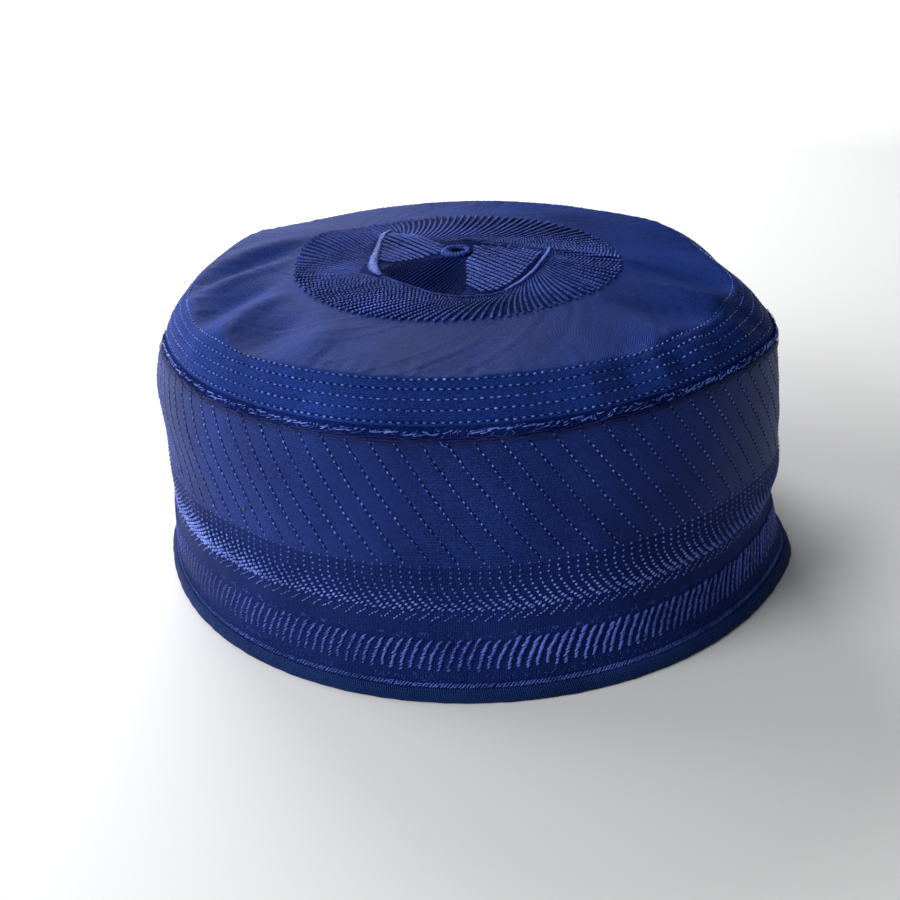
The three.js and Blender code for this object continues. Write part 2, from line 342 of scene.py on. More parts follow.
# Threads as closed tubes. paths is (thread, step, 3), normals point out of the cloth,
# and widths and heights are full sizes at each step.
def tubes(paths, normals, widths, heights):
    sides = 4
    count, steps = paths.shape[:2]
    ahead = unit(np.gradient(paths, axis=1))
    across = unit(np.cross(normals, ahead))
    up = np.cross(ahead, across)
    around = (np.arange(sides) + 0.5) / sides * turn
    widths = np.broadcast_to(widths, (count, steps))[..., None]
    heights = np.broadcast_to(heights, (count, steps))[..., None]
    points = (paths[:, :, None]
              + across[:, :, None] * (np.cos(around) * widths / 2)[..., None]
              + up[:, :, None] * (np.sin(around) * heights / 2)[..., None])
    last = (steps - 1) * sides
    caps = [[0, 3, 2, 1], [last, last + 1, last + 2, last + 3]]
    quads = np.concatenate([grid_quads(steps, sides).reshape(-1, 4), caps])
    offsets = np.arange(count)[:, None, None] * steps * sides
    return points.reshape(-1, 3), (quads[None] + offsets).reshape(-1, 4)


def join(*parts):
    points, quads, start = [], [], 0
    for some_points, some_quads in parts:
        points.append(some_points.reshape(-1, 3))
        quads.append(some_quads.reshape(-1, 4) + start)
        start += len(points[-1])
    return np.concatenate(points), np.concatenate(quads)


# Materials
def material_tree(name):
    material = bpy.data.materials.new(name)
    material.use_nodes = True
    tree = material.node_tree
    tree.nodes.clear()
    output = tree.nodes.new("ShaderNodeOutputMaterial")
    shader = tree.nodes.new("ShaderNodeBsdfPrincipled")
    tree.links.new(shader.outputs["BSDF"], output.inputs["Surface"])
    place = tree.nodes.new("ShaderNodeTexCoord").outputs["Object"]
    return material, tree, shader, place


def add_node(tree, kind, inputs=None, **settings):
    node = tree.nodes.new(kind)
    for key, value in settings.items():
        setattr(node, key, value)
    for key, value in (inputs or {}).items():
        if isinstance(value, bpy.types.NodeSocket):
            tree.links.new(value, node.inputs[key])
        else:
            node.inputs[key].default_value = value
    return node


def calculate(tree, operation, first, second=0.0):
    return add_node(tree, "ShaderNodeMath", {0: first, 1: second}, operation=operation).outputs[0]


def plus(tree, first, second):
    return calculate(tree, "ADD", first, second)


def times(tree, first, second):
    return calculate(tree, "MULTIPLY", first, second)


def noise(tree, vector, scale, detail, roughness):
    node = add_node(tree, "ShaderNodeTexNoise",
                    {"Vector": vector, "Scale": scale, "Detail": detail, "Roughness": roughness})
    return node.outputs["Fac"]


def ramp(tree, factor, dark, light, low, high):
    node = add_node(tree, "ShaderNodeValToRGB", {"Fac": factor})
    for element, position, colour in zip(node.color_ramp.elements, (low, high), (dark, light)):
        element.position = position
        element.color = (*colour, 1)
    return node.outputs["Color"]


def finish_shader(tree, shader, colour, roughness, height, bump, strength, gloss):
    relief = add_node(tree, "ShaderNodeBump", {"Height": height, "Distance": bump, "Strength": strength})
    tree.links.new(colour, shader.inputs["Base Color"])
    tree.links.new(roughness, shader.inputs["Roughness"])
    tree.links.new(relief.outputs["Normal"], shader.inputs["Normal"])
    shader.inputs["Specular IOR Level"].default_value = gloss


# Cloth with a fine diagonal twill, which runs round the wall or, with over_crown, round and down the crown.
# twill_count is ribs' turn in radians for a turn of one radian, twill_rise the same for each metre down.
def twill_material(name, dark, light, roughness, gloss, twill_count, twill_rise, bump, over_crown=False):
    material, tree, shader, place = material_tree(name)
    parts = add_node(tree, "ShaderNodeSeparateXYZ", {"Vector": place}).outputs
    angle = calculate(tree, "ARCTAN2", parts["Y"], parts["X"])
    down_cloth = parts["Z"]
    if over_crown:
        squares = [times(tree, parts[axis], parts[axis]) for axis in ("X", "Y")]
        radius = calculate(tree, "SQRT", plus(tree, *squares))
        down_cloth = calculate(tree, "SUBTRACT", radius, parts["Z"])
    uneven = noise(tree, place, 260.0, 2.0, 0.5)
    along_ribs = plus(tree, times(tree, angle, float(twill_count)), times(tree, down_cloth, twill_rise))
    ribs = calculate(tree, "SINE", plus(tree, along_ribs, times(tree, uneven, 4.0)))
    picks = calculate(tree, "SINE", plus(tree, times(tree, down_cloth, 9000.0), times(tree, uneven, 3.0)))
    weave = plus(tree, ribs, times(tree, picks, 0.4))
    fuzz = noise(tree, place, 1900.0, 3.0, 0.7)
    patches = noise(tree, place, 32.0, 4.0, 0.55)
    mixed = plus(tree, times(tree, patches, 0.35), times(tree, fuzz, 0.65))
    mixed = plus(tree, mixed, times(tree, weave, 0.1))
    worn = plus(tree, roughness - 0.09, times(tree, patches, 0.18))
    height = plus(tree, weave, times(tree, fuzz, 1.8))
    colour = ramp(tree, mixed, dark, light, 0.34, 0.68)
    finish_shader(tree, shader, colour, worn, height, bump, 0.9, gloss)
    return material


thread_bump = 0.00016


def thread_material(name, dark, light, roughness, gloss):
    material, tree, shader, place = material_tree(name)
    strands = noise(tree, place, 1400.0, 3.0, 0.65)
    patches = noise(tree, place, 60.0, 3.0, 0.5)
    mixed = plus(tree, times(tree, strands, 0.6), times(tree, patches, 0.4))
    worn = plus(tree, roughness - 0.08, times(tree, strands, 0.16))
    colour = ramp(tree, mixed, dark, light, 0.38, 0.64)
    finish_shader(tree, shader, colour, worn, strands, thread_bump, 0.8, gloss)
    shader.inputs["Specular Tint"].default_value = (0.5, 0.64, 1.0, 1)
    return material


# Each material: its darkest and lightest colour, roughness and gloss, and for cloth also its twill_count,
# twill_rise and bump in metres
wall_cloth = twill_material("wall_satin", (0.0015, 0.006, 0.045), (0.0165, 0.045, 0.26), 0.45, 0.07,
                            960, 8600.0, 0.00006)
crown_cloth = twill_material("crown_satin", (0.002, 0.0075, 0.052), (0.019, 0.055, 0.305), 0.5, 0.012,
                             900, 8000.0, 0.000035, over_crown=True)
tape_cloth = twill_material("binding_twill", (0.002, 0.01, 0.05), (0.013, 0.044, 0.2), 0.5, 0.05,
                            1100, 2400.0, 0.00014)
ribbed_cloth = twill_material("ribbed_ground", (0.0022, 0.008, 0.055), (0.011, 0.03, 0.18), 0.5, 0.04,
                              1440, 0.0, 0.00008)
bright_thread = thread_material("bright_thread", (0.028, 0.06, 0.3), (0.2, 0.3, 0.88), 0.34, 0.32)
satin_thread = thread_material("satin_thread", (0.008, 0.026, 0.18), (0.125, 0.2, 0.74), 0.36, 0.26)
figure_thread = thread_material("figure_thread", (0.002, 0.009, 0.07), (0.07, 0.12, 0.5), 0.58, 0.03)
# A lighter copy of the medallion's thread: its extra lightness is partly the rows' own tone and partly
# painted sheen of the inner sectors
inner_thread_and_sheen = thread_material("inner_thread_and_sheen", (0.004, 0.014, 0.11), (0.09, 0.155, 0.62), 0.48, 0.09)
# Dark navy thread; on the medallion its darkness is also painted shade, in the gaps between rows where the
# ground shows and over the lower left rows
deep_thread_and_shade = thread_material("deep_thread_and_shade", (0.0015, 0.0055, 0.045), (0.006, 0.018, 0.12), 0.7, 0.008)
raw_edge = thread_material("raw_edge", (0.006, 0.008, 0.045), (0.03, 0.03, 0.13), 0.6, 0.1)
# Near black, for painted shade: flat discs that stand for the shade in the needle holes
hole_shade_paint = thread_material("painted_hole_shade", (0.0008, 0.0014, 0.009), (0.0015, 0.003, 0.017), 0.8, 0.02)
speck_green = thread_material("lint_speck", (0.02, 0.035, 0.03), (0.05, 0.08, 0.06), 0.7, 0.1)


# Side wall. Above the upper band the columns of the mesh lean with the quilting lines.
def quilt_lean(height):
    return quilt_slope * seam_height * (1 - np.maximum(height, upper_band_to))


quilt_from = upper_band_to + share(0.3)
quilt_to = 1 - share(edging_height * edging_on_wall * 0.8)
# Folds of the wall: place in degrees, height, width in degrees, height reach and depth in mm
wall_folds = [
    (-22, 0.3, 9, 0.06, -1.0), (-36, 0.27, 12, 0.05, -0.5), (-12, 0.42, 10, 0.07, 0.7),
    (190, 0.33, 16, 0.09, -0.35), (200, 0.5, 16, 0.09, 0.5), (60, 0.45, 18, 0.12, -0.5),
    (125, 0.3, 20, 0.1, 0.4),
]


def wall_unevenness(height, angle):
    relief = 0.22 * wander(angle, (7, 12, 19), 3) * np.sin(np.pi * np.clip(height, 0, 1))
    relief = relief + 0.1 * wander(angle + height, (23, 31, 44), 4) * np.sin(np.pi * height) ** 2
    for at, middle, wide, tall, depth in wall_folds:
        off = np.degrees(angle_between(angle, at)) / wide
        away = (height - middle) / tall
        relief += depth * np.exp(-off * off - away * away)
    return relief


def wall_surface(height, angle, out=0.0):
    return wall_point(height, angle, wall_unevenness(height, angle) + out)


def quilt_relief(height, column, hole):
    in_zone = (np.clip((height - upper_band_to) / share(1.2), 0, 1)
               * np.clip((1 - height) / share(2.0), 0, 1))
    phase = column / stations_per_line
    puff = np.abs(np.sin(np.pi * phase)) ** 0.55
    return in_zone * (0.11 * puff - 0.08 - 0.14 * hole * (column % stations_per_line == 0))


quilt_rows = np.linspace(quilt_from, quilt_to, 2 * quilt_stitches + 1)
outer_rows = [upper_band_to, *quilt_rows, 1.0]
stops = (wall_foot, binding_top, lower_band_from, lower_band_to, upper_band_from, upper_band_to)
# Rows of the mesh from each stop to the next, the uppermost first
for low, high, rows in reversed(list(zip(stops, stops[1:], (2, 4, 5, 4, 8)))):
    outer_rows = [*np.linspace(low, high, rows + 1)[:-1], *outer_rows]
outer_rows = np.array(outer_rows)
inner_rows = np.concatenate([[0.985, 0.96], np.linspace(0.92, wall_foot, 9)])
columns = np.arange(stations)
column_angle = columns / stations * turn
outer_angle = column_angle[None] + quilt_lean(outer_rows)[:, None]
is_hole = np.isin(outer_rows, quilt_rows[1::2])[:, None]
outer_relief = quilt_relief(outer_rows[:, None], columns[None], is_hole)
outer_face = wall_surface(outer_rows[:, None], outer_angle, outer_relief)
seam_normal = crown_normal(2.0, column_angle)
top_edge = crown_surface(2.0, column_angle) + crown_slope(2.0, column_angle) * cloth_gap
top_depth = wall_thickness / np.sum(seam_normal * outward(column_angle), -1)
top_inside = top_edge - seam_normal * top_depth[:, None]
inner_relief = 0.25 * quilt_relief(inner_rows[:, None], columns[None], 0) - wall_thickness
inner_face = wall_surface(inner_rows[:, None], column_angle[None], inner_relief)
wall_points = np.concatenate([outer_face, top_edge[None], top_inside[None], inner_face])
make_piece("side_wall_cloth", wall_points, grid_quads(len(wall_points), stations, True), wall_cloth,
           "satin_cloth", "side_wall")

# Quilting stitches: a short bright thread, then a flat dark disc of painted shade at the hole where it goes
# down
row_step = quilt_rows[1] - quilt_rows[0]
line_at, step_at = np.meshgrid(np.arange(quilt_lines), np.arange(quilt_stitches), indexing="ij")
line_at, step_at = line_at.ravel(), step_at.ravel()


def wall_normals(height, angle):
    rise = wall_surface(height + 0.01, angle) - wall_surface(height - 0.01, angle)
    sideways = wall_surface(height, angle + 0.02) - wall_surface(height, angle - 0.02)
    return unit(np.cross(sideways, rise))


# Threads laid on the wall, out mm from its face
def wall_threads(height, angle, out, wide, thick):
    return tubes(wall_surface(height, angle, out), wall_normals(height, angle), wide, thick)


# Even places round the cap, each a little off by chance
def round_cap(count, scatter):
    return even_angles(count) + chance.normal(0, scatter, count)


# Shares of a stitch's full width from one end to the other
stitch_taper = np.array([0.6, 1, 1, 0.6])
knot_taper = np.array([0.45, 1, 1, 0.45])
row_taper = np.array([0.4, 1, 1, 0.4])
short_taper = np.array([0.5, 1, 0.5])
stitch_size = 0.48
stitch_arch = 0.2
hole_shade_size = 0.4


def quilt_threads():
    half = 0.31
    along = np.linspace(-half, half, 4)
    loose = chance.normal(0, 0.0016, line_at.shape)[:, None]
    height = (quilt_rows[0] + 2 * step_at * row_step)[:, None] - along * row_step
    angle = line_at[:, None] / quilt_lines * turn + quilt_lean(height) + loose * (1 - along**2)
    arch = stitch_arch * (1 - (along / half) ** 2) - 0.12
    size = stitch_size * stitch_taper * chance.uniform(0.55, 1.3, line_at.shape)[:, None]
    return wall_threads(height, angle, arch, size, size * 0.85)


make_piece("quilting_stitches", *quilt_threads(), bright_thread, "seam_thread")


# Flat dark discs at the holes between stitches, painted shade of the pits
def hole_shade_marks():
    along = np.linspace(-0.62, 0.62, 3)
    height = (quilt_rows[0] + (2 * step_at + 1) * row_step)[:, None] - along * row_step
    angle = line_at[:, None] / quilt_lines * turn + quilt_lean(height)
    return wall_threads(height, angle, -0.1, hole_shade_size * short_taper, 0.1)


make_piece("quilting_hole_shade", *hole_shade_marks(), hole_shade_paint, "satin_cloth")


# Crown
def ring_groove(along):
    depth = 0.0
    for way in stitch_rings:
        depth += np.exp(-(((along - 1 - way) * 15.7 / 0.55) ** 2))
    return depth


# Where the bevel is bunched up, most of all at the front right: degrees, width in degrees and depth in mm
bevel_puckers = [
    (-78, 2.6, -0.4), (-69, 2.4, 0.55), (-62, 2.0, -0.9), (-55.5, 1.9, 1.25), (-50.5, 1.8, -0.9),
    (-44, 2.0, 0.9), (-39, 2.0, -0.7), (-31, 2.4, 0.6), (-24, 2.4, -0.5), (-118, 2.6, -0.4), (-127, 3.0, 0.4),
    (-150, 3.0, 0.4), (60, 3.0, 0.5), (100, 3.0, -0.4), (135, 3.0, 0.5),
]


def bunched(along, angle):
    height = 0.0
    for at, width, depth in bevel_puckers:
        off = np.degrees(angle_between(angle + 0.05 * (along - 1.5), at)) / width
        height += depth * np.exp(-off * off)
    return height * np.sin(np.pi * np.clip((along - 0.92) / 1.05, 0, 1)) ** 1.2


def pressed_folds(along, angle):
    return 1.2 * fold_relief(along, angle)


def crown_relief(along, angle):
    on_bevel = np.clip((along - 0.97) / 0.05, 0, 1) * np.clip((2.0 - along) / 0.1, 0, 1)
    between = np.abs(np.sin(np.pi * (along - 1 - stitch_rings[0]) / 0.21))
    bunching = np.exp(-(angle_between(angle, -52) / 0.3) ** 2)
    pucker = wander(angle, (97, 131, 163, 214), 9) * (0.03 + 0.05 * bunching)
    soft = 0.12 * wander(angle + 0.6 * along, (9, 14, 22), 12) * np.clip((along - 0.6) / 0.2, 0, 1)
    gathers = 0.1 * wander(angle, (61, 83, 118), 15) * np.clip((along - 0.8) / 0.2, 0, 1) * (along < 1.05)
    puffs = on_bevel * (0.09 * between - 0.2 * ring_groove(along) + pucker * between)
    crumple = 0.09 * wander(angle + 1.3 * along, (41, 67, 102, 151), 18) * np.sin(7 * along + 3 * angle)
    flat_part = soft + gathers + crumple + pressed_folds(along, angle)
    return puffs + flat_part * (1 - on_bevel) + bunched(along, angle)


hole_along = (thread_hole_radius + 0.1) / shoulder_radius
crown_rows = np.concatenate([
    np.linspace(hole_along, 0.56, 10)[:-1],
    np.linspace(0.56, 0.98, 28)[:-1],
    np.linspace(0.98, 2, 42),
])
under_rows = np.concatenate([np.linspace(2, 1, 7)[:-1], np.linspace(1, hole_along, 6)])
crown_over = crown_point(crown_rows[:, None], column_angle[None],
                         crown_relief(crown_rows[:, None], column_angle[None]))
crown_under = crown_point(under_rows[:, None], column_angle[None], -crown_thickness)
crown_points = np.concatenate([crown_over, crown_under])
crown_quads = grid_quads(len(crown_points), stations, True)[..., ::-1]
make_piece("crown_cloth", crown_points, crown_quads, crown_cloth, "satin_cloth", "crown_panel")


def rim_threads(bright):
    parts = []
    half = 0.2 if bright else 0.24
    along = np.linspace(-half, half, 4 if bright else 3)
    for way in stitch_rings:
        at = chance.uniform(0, turn) + round_cap(rim_stitches, 0.0012)
        angle = at[:, None] + (along + (0 if bright else 0.5)) * turn / rim_stitches
        astray = chance.normal(0, 0.004, rim_stitches)[:, None] * (1 if bright else 0)
        row = np.full_like(angle, 1 + way) + astray
        if bright:
            out = stitch_arch * (1 - (along / half) ** 2) - stitch_arch + bunched(row, angle)
            size = stitch_taper * stitch_size * chance.uniform(0.6, 1.2, rim_stitches)[:, None]
            thick = size * 0.85
        # Otherwise flat dark discs, painted shade of the needle holes between stitches
        else:
            out = bunched(row, angle) - 0.16
            size = 0.5 * short_taper
            thick = 0.12
        parts.append(tubes(crown_point(row, angle, out), crown_normal(row, angle), size, thick))
    return join(*parts)


make_piece("rim_stitches", *rim_threads(True), bright_thread, "seam_thread")
# The dark discs here are painted shade of the rim's needle holes
make_piece("rim_hole_shade", *rim_threads(False), hole_shade_paint, "satin_cloth")


# Seam edging: slanted whip threads over a rolled raw edge
def edging_line(way, angle, out):
    below = share(edging_height * edging_on_wall)
    above = edging_height * (1 - edging_on_wall)
    on_wall = wall_surface(1 - below * np.clip(1 - way, 0, 1), angle, cloth_gap + out)
    up_bevel = (above * np.clip(way - 1, 0, 1))[..., None]
    on_bevel = crown_point(2.0, angle, cloth_gap + out) - crown_slope(2.0, angle) * up_bevel
    return np.where((way <= 1)[..., None], on_wall, on_bevel)


def edging_roll():
    steps = 9
    way = np.linspace(0, 2, steps)[:, None]
    lumps = 0.14 * wander(column_angle, (150, 197, 260), 21)[None]
    out = edging_thickness * 0.4 * np.sin(np.pi * way / 2) ** 0.6 - 0.25 + lumps * np.sin(np.pi * way / 2)
    return edging_line(way, column_angle[None], out), grid_quads(steps, stations)


make_piece("seam_edging_roll", *edging_roll(), deep_thread_and_shade, "seam_thread", "crown_seam_edging")


# Lengths and widths are in mm, middle and scatter in the edging's own way up from 0 to 2
def whip_threads(count, shortest, longest, thin, thick, middle, scatter, proud):
    at = (np.arange(count) + chance.uniform(-0.6, 0.6, count)) / count * turn
    half = chance.uniform(shortest, longest, count) / edging_height
    centre = middle + chance.normal(0, scatter, count)
    lean = turn_of(chance.normal(0.5, 0.55, count), upper_side_radius)
    step = np.linspace(-1, 1, 5)[None]
    way = np.clip(centre[:, None] + half[:, None] * step, 0.02, 1.98)
    angle = at[:, None] + lean[:, None] * step
    out = edging_thickness * 0.42 * np.sin(np.pi * way / 2) ** 0.6 - 0.18 + 0.08 * (1 - step**2) + proud
    size = chance.uniform(thin, thick, count)[:, None] * np.array([0.55, 1, 1, 1, 0.55])
    normal = unit(outward(angle) + crown_normal(2.0, angle))
    return tubes(edging_line(way, angle, out), normal, size, size * 0.8)


bright_whips = whip_threads(whip_stitches, 0.18, 0.45, 0.18, 0.34, 1.0, 0.2, 0.16)
make_piece("seam_whip_threads", *bright_whips, bright_thread, "seam_thread")
dark_whips = whip_threads(whip_stitches, 0.3, 0.8, 0.18, 0.34, 0.85, 0.28, 0.0)
make_piece("seam_dark_threads", *dark_whips, figure_thread, "seam_thread")


# The raw edges of the cloth layers, as uneven lines just under the seam
def raw_edges():
    parts = []
    for number, below in enumerate((1.5, 2.1, 2.7)):
        angle = column_angle[None]
        height = 1 - share(below + 0.16 * wander(angle, (31, 57, 88, 120), 23 + number))
        size = 0.3 + 0.12 * wander(angle, (47, 71, 99), 27 + number)
        path = wall_surface(height, angle, cloth_gap + 0.16)
        parts.append(tubes(path, outward(angle), np.maximum(size, 0.08), 0.22))
    return join(*parts)


make_piece("seam_raw_edges", *raw_edges(), raw_edge, "satin_cloth")


# Upper band: a dark ground, isolated knots above, a dense plait, then slanted dashes
def band_ground(low, high, waviness, seed, thickness):
    way = np.linspace(0, 1, 14)[:, None]
    edge = share(waviness) * wander(column_angle, (37, 58, 90), seed)[None]
    height = low + (high - low) * way + edge * (2 * way - 1)
    out = thickness * np.sin(np.pi * way) ** 0.25 - 0.02
    return wall_surface(height, column_angle[None], out), grid_quads(len(way), stations)


make_piece("band_ground", *band_ground(share(band_ground_from), upper_band_to - share(0.5), 0.2, 31, 0.16),
           ribbed_cloth, "embroidery_thread", "upper_embroidered_band", "lower_embroidered_band")

# Knots of the upper band, from the top down: mm below its top, mm that a column has drifted to the right
# by then, length and width of a knot in mm, and its slant up to the right in degrees
knot_table = [
    (0.6, 0.0, 0.5, 0.4, 40), (1.95, 0.0, 0.54, 0.44, 35), (3.3, 0.05, 0.6, 0.48, 30),
    (4.65, 0.15, 0.7, 0.58, 25), (5.85, 0.6, 0.84, 0.66, 20), (6.9, 1.2, 0.95, 0.7, 20),
    (7.85, 1.8, 1.0, 0.74, 15), (8.75, 2.4, 1.15, 0.8, 18), (9.55, 3.05, 1.2, 0.8, 20),
    (10.25, 3.75, 1.35, 0.84, 24), (10.9, 4.5, 1.45, 0.82, 28), (11.5, 5.3, 1.4, 0.74, 32),
]
plait_from = 4.0
dash_middle = 13.3
dash_groups = 182
dash_knots = 4
dash_slant = math.radians(35)
dash_spacing = 0.9


def knots(height, angle, long, wide, thick, slant):
    along = np.linspace(-0.5, 0.5, 4)
    wide, thick = (np.broadcast_to(size, len(angle))[:, None] for size in (wide, thick))
    reach = (long * chance.uniform(0.85, 1.15, len(angle)))[:, None]
    tilt = (slant + chance.normal(0, 0.12, len(angle)))[:, None]
    heights = height[:, None] + share(along * reach * np.sin(tilt))
    angles = angle[:, None] + turn_of(along * reach * np.cos(tilt))
    lift = thick * 0.35 + 0.1 + 0.08 * thick * (1 - (2 * along) ** 2)
    size = wide * knot_taper * chance.uniform(0.75, 1.2, len(angle))[:, None]
    return wall_threads(heights, angles, lift, size, thick * knot_taper)


# The plait is fullest at the cap's front left
def upper_band_knots():
    parts = []
    for down, drift, long, wide, slant in knot_table:
        angle = round_cap(knot_columns, 0.0012) + turn_of(drift)
        height = upper_band_to - share(down + chance.normal(0, 0.09, knot_columns))
        fuller = 1.22 * np.exp(-((angle_between(angle, -142) / 0.62) ** 2))
        fuller = np.maximum(fuller, 0.74) if down > plait_from else np.ones(knot_columns)
        wide = wide * fuller
        parts.append(knots(height, angle, long * fuller, wide, wide * 0.9, math.radians(slant)))
    for number in range(dash_knots):
        step = (number - (dash_knots - 1) / 2) * dash_spacing
        angle = round_cap(dash_groups, 0.001) + turn_of(step * math.cos(dash_slant))
        down = dash_middle - step * math.sin(dash_slant) + chance.normal(0, 0.08, dash_groups)
        parts.append(knots(upper_band_to - share(down), angle, 0.62, 0.4, 0.42, dash_slant))
    return join(*parts)


make_piece("upper_band_knots", *upper_band_knots(), bright_thread, "embroidery_thread")


# Lower band: curved ridges of short slanted stitches, flatter at the cap's front left where they are worn
ridge_stitches = 10
ridge_slant = math.radians(40)


def satin_ridges():
    parts = []
    at = round_cap(lower_ridges, 0.0013)
    ragged = share(chance.normal(0, 0.3, (lower_ridges, 2)))
    low = lower_band_from + share(0.5) + ragged[:, 0]
    high = lower_band_to - share(0.3) + ragged[:, 1]
    worn = 1 - 0.72 * np.exp(-((angle_between(at, 214) / 0.55) ** 2))
    for number in range(ridge_stitches):
        way = (number + 0.5) / ridge_stitches
        height = high + (low - high) * way + share(chance.normal(0, 0.08, lower_ridges))
        drift = 2.8 * (1 - way) ** 1.6 - 1.5 + chance.normal(0, 0.1, lower_ridges)
        angle = at + turn_of(drift, lower_side_radius)
        full = 1 - 0.45 * way**2
        parts.append(knots(height, angle, 1.75 * full, 0.66 * worn, 0.8 * full * worn, ridge_slant))
    return join(*parts)


make_piece("lower_band_ridges", *satin_ridges(), satin_thread, "embroidery_thread")


# Loose fine threads: scalloped patches over the lower band and a scatter under it
def fuzz(groups, per_group, height_mm, across, down, size, slant):
    count = groups * per_group
    middle = np.repeat(even_angles(groups), per_group)
    off = chance.normal(0, across, count)
    height = share(height_mm + chance.normal(0, down, count) - 0.25 * off**2)
    angle = middle + turn_of(off, lower_side_radius)
    along = np.linspace(-0.5, 0.5, 3)
    tilt = chance.normal(slant, 0.7, count)[:, None]
    length = chance.uniform(0.4, 0.9, count)[:, None]
    heights = height[:, None] + share(along * length * np.sin(tilt))
    angles = angle[:, None] + turn_of(along * length * np.cos(tilt), lower_side_radius)
    return wall_threads(heights, angles, 0.16, size * short_taper, size * 0.8)


loose_fuzz = join(fuzz(109, 12, 17.5, 0.9, 0.3, 0.2, 0.8), fuzz(240, 3, 6.4, 0.6, 0.55, 0.26, 0.6))
make_piece("band_edge_stitches", *loose_fuzz, figure_thread, "embroidery_thread")


# Brim binding: a rolled tape round the lower edge, inside and out
def binding_roll():
    outer = cloth_gap + binding_thickness
    inner = -wall_thickness - cloth_gap
    foot = share(binding_thickness)
    inside = inner - binding_thickness
    top = binding_top
    low_round = binding_thickness * 0.45
    high_round = binding_thickness * 0.8
    # Height and mm out from the wall, from the foot up outside, down between the layers and up inside
    section = np.array([
        (0.0, cloth_gap + low_round), (foot * 0.2, cloth_gap + high_round), (foot * 0.7, outer),
        (top * 0.55, outer + 0.05), (top * 0.8, outer - 0.1), (top * 0.95, outer - 0.4),
        (top, cloth_gap + 0.2), (top * 0.98, cloth_gap * 0.3), (foot, cloth_gap * 0.3),
        (foot, inner + 0.2), (top * 0.98, inner + 0.2), (top, inner - 0.2), (top * 0.95, inside + 0.4),
        (top * 0.7, inside), (foot * 0.7, inside), (foot * 0.2, inner - high_round), (0.0, inner - low_round),
    ])
    height, out = section[:, :1], section[:, 1:]
    lumps = 0.07 * wander(column_angle, (41, 73, 112), 41)[None] * (height > 0)
    return wall_point(height, column_angle[None], out + lumps), grid_quads(len(section), stations, True)


make_piece("brim_binding_tape", *binding_roll(), tape_cloth, "binding_tape", "brim_binding")


def edge_threads():
    parts = []
    for height_mm, size, push in ((3.95, 0.4, 0.0), (4.5, 0.3, 0.5)):
        at = round_cap(edge_stitches, 0.0009) + push / edge_stitches * turn
        height = share(height_mm + chance.normal(0, 0.05, edge_stitches))
        parts.append(knots(height, at, 1.15, size, size * 0.9, math.radians(34)))
    return join(*parts)


make_piece("brim_edge_stitches", *edge_threads(), satin_thread, "seam_thread")

# Medallion. Places on it are x to the right and y to the back of the crown's middle, in mm.
# The edge is its angle in degrees and its distance from the middle.
medallion_edge = [
    (-180, 47.4), (-150, 46.5), (-115, 48.0), (-80, 47.5), (-48, 46.5), (-20, 47.5), (0, 47.0), (30, 47.2),
    (56, 47.8), (83, 48.2), (111, 49.0), (127, 50.0), (142, 50.8), (158, 50.0), (172, 48.2), (180, 47.4),
]
# Outer rows of stitches: where each starts on the inner figure, and the angle where it meets the edge
ring_strands = [
    (-24.4, -13.2, -173), (-20.6, -16, -157), (-12.5, -23.5, -142), (-7.4, -29, -130), (-3, -33, -116),
    (2, -34, -106), (7.6, -32.5, -95), (11, -31.5, -87), (13.6, -29.5, -79), (16.4, -27, -72),
    (19, -22.5, -65), (20.5, -19, -59), (22.5, -15.5, -51), (23.4, -12.5, -40), (24.4, -8.4, -32),
    (26.5, -4, -15), (23, 0.3, -7), (16, 2.6, 11), (11, 4, 28), (7, 6, 53), (4, 7.4, 61), (1, 8.4, 68),
    (-1.5, 9, 75), (-5, 11, 83), (-9, 16.8, 95), (-13, 23, 105), (-19, 30, 118), (-22.5, 25, 127),
    (-24, 21, 131), (-25, 17, 134), (-25, 10, 139), (-25.5, 4, 145), (-26, -1, 152), (-27, -6, 161),
    (-27.6, -8, 170), (-27.2, -10.5, 178), (-24.4, -13.2, 187),
]
# Rows of the inner figure: from x, y to x, y
upper_left_strands = [
    (-22.4, -2, -18.5, -4.6), (-22.7, 8, -14, -4), (-22.4, 17.7, -10, -3), (-20.7, 26, -5, 0),
    (-13, 22, -4, 6.4),
]
right_strands = [
    (19, 1, 24.4, -2.5), (12, 2, 22.8, -6), (8, 3.4, 21.6, -9.5), (4.8, 3.4, 20, -13), (4.6, -1, 17.8, -18),
    (2.6, -7, 15.6, -22.5), (2.4, -13, 13.4, -26.2), (2.4, -19, 10.6, -29.6), (2.4, -26, 6, -31.6),
]
lower_left_strands = [
    (-22, -9.5, -18.5, -5.6), (-20, -14, -12, -4.6), (-15.2, -21, -5, -3), (-9, -27, 2.1, -7),
    (-3, -31.4, 2.1, -17), (0, -32, 2.1, -28),
]


def on_crown(x, y, out=0.0):
    along = np.hypot(x, y) / shoulder_radius
    angle = np.arctan2(y, x)
    return crown_point(along, angle, pressed_folds(along, angle) + out)


def crown_threads(x, y, out, wide, thick):
    normals = crown_normal(np.maximum(np.hypot(x, y) / shoulder_radius, 0.02), np.arctan2(y, x))
    return tubes(on_crown(x, y, out), normals, wide, thick)


def edge_radius(angle):
    degrees = np.degrees(np.arctan2(np.sin(angle), np.cos(angle)))
    return np.interp(degrees, *zip(*medallion_edge))


mean_edge_radius = 48


def lengths_along(steps):
    return np.concatenate([[0], np.cumsum(steps)])


# What a table of rows says at given lengths along it
def read_off(at, reach, table):
    return np.stack([np.interp(at, reach, column) for column in table.T], -1)


def between_rows(table, count):
    table = np.array(table, float)
    steps = np.hypot(*(np.diff(table[:, :2], axis=0).T)) + 1e-6
    if table.shape[1] == 4:
        steps = (steps + np.hypot(*(np.diff(table[:, 2:], axis=0).T))) / 2
    else:
        steps = (steps + np.abs(np.diff(np.radians(table[:, 2]))) * mean_edge_radius) / 2
    reach = lengths_along(steps)
    return read_off((np.arange(count) + 0.5) / count * reach[-1], reach, table)
